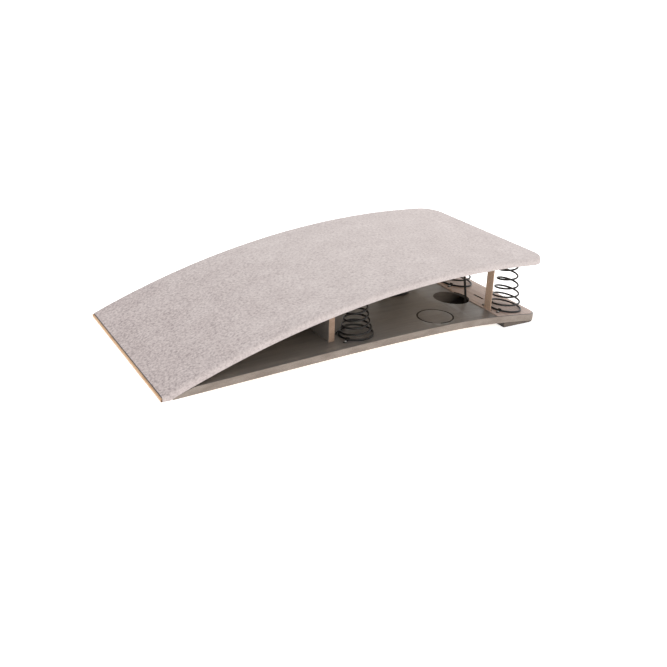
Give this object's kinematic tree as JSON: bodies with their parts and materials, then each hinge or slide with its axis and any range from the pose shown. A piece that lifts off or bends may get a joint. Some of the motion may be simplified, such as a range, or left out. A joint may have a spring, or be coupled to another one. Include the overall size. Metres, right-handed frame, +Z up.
{
  "type": "gymnastics springboard",
  "caption": "Carpeted, curved plywood deck on conical coil springs over a plywood base with a bump web, limit straps and a rear foot; low end at the floor.",
  "frame": {"origin": "on the floor, under the middle of the whole board's box", "axes": "+X from the low end to the high end, +Y across the board away from the pictured side, +Z up"},
  "size_m": [1.2, 0.6, 0.208],
  "materials": {
    "carpet": "short needle-felt carpet, matt, mottled",
    "foam": "closed-cell foam underlay, matt",
    "deck_ply": "birch plywood, clear varnish",
    "nose_wood": "hardwood strip, bare, orange-tan",
    "base_ply": "plywood, top face stained dark, edges bare",
    "plank_ply": "thin plywood, satin",
    "batten_wood": "hardwood batten, stained brown, front face dark",
    "web_ply": "plywood, faces stained dark, ends bare",
    "spring_steel": "oil-tempered spring wire, black, satin",
    "clip_steel": "black oxide steel, satin",
    "zinc_steel": "zinc-plated steel screw",
    "grip_rubber": "black ribbed rubber",
    "bumper_rubber": "black rubber",
    "tan_webbing": "woven polyester webbing, tan",
    "black_webbing": "woven polyester webbing, black"
  },
  "bodies": {
    "base": {"base_board": "base_ply", "rear_plank": "plank_ply", "foot_batten": "batten_wood", "foot_strips": "grip_rubber", "batten_screws": "zinc_steel", "bump_web": "web_ply", "web_bumper": "bumper_rubber", "web_screws": "zinc_steel", "spring_mid_near": "spring_steel", "spring_mid_far": "spring_steel", "spring_centre": "spring_steel", "spring_rear_near": "spring_steel", "spring_rear_far": "spring_steel", "spring_rear_centre": "spring_steel", "spring_foot_clips": "clip_steel", "spring_foot_screws": "zinc_steel", "outer_strap_near": "tan_webbing", "outer_strap_far": "tan_webbing", "inner_strap_near": "black_webbing", "inner_strap_far": "black_webbing", "strap_foot_plates": "clip_steel", "strap_foot_screws": "zinc_steel"},
    "deck": {"top_board": "deck_ply", "nose_strip": "nose_wood", "foam_pad": "foam", "carpet": "carpet", "front_screws": "zinc_steel", "spring_head_clips": "clip_steel", "spring_head_screws": "zinc_steel", "strap_head_plates": "clip_steel", "strap_head_screws": "zinc_steel"}
  },
  "joints": [
    {"name": "deck_flex", "type": "hinge", "parent": "base", "child": "deck", "pos_m": [-0.55, 0, 0.0108], "axis": [0, 1, 0], "range_deg": [0, 2.2], "stiffness_Nm_per_rad": 48000, "springref_deg": -1.15, "deforming": ["spring_mid_near", "spring_mid_far", "spring_centre", "spring_rear_near", "spring_rear_far", "spring_rear_centre", "outer_strap_near", "outer_strap_far", "inner_strap_near", "inner_strap_far"]}
  ]
}
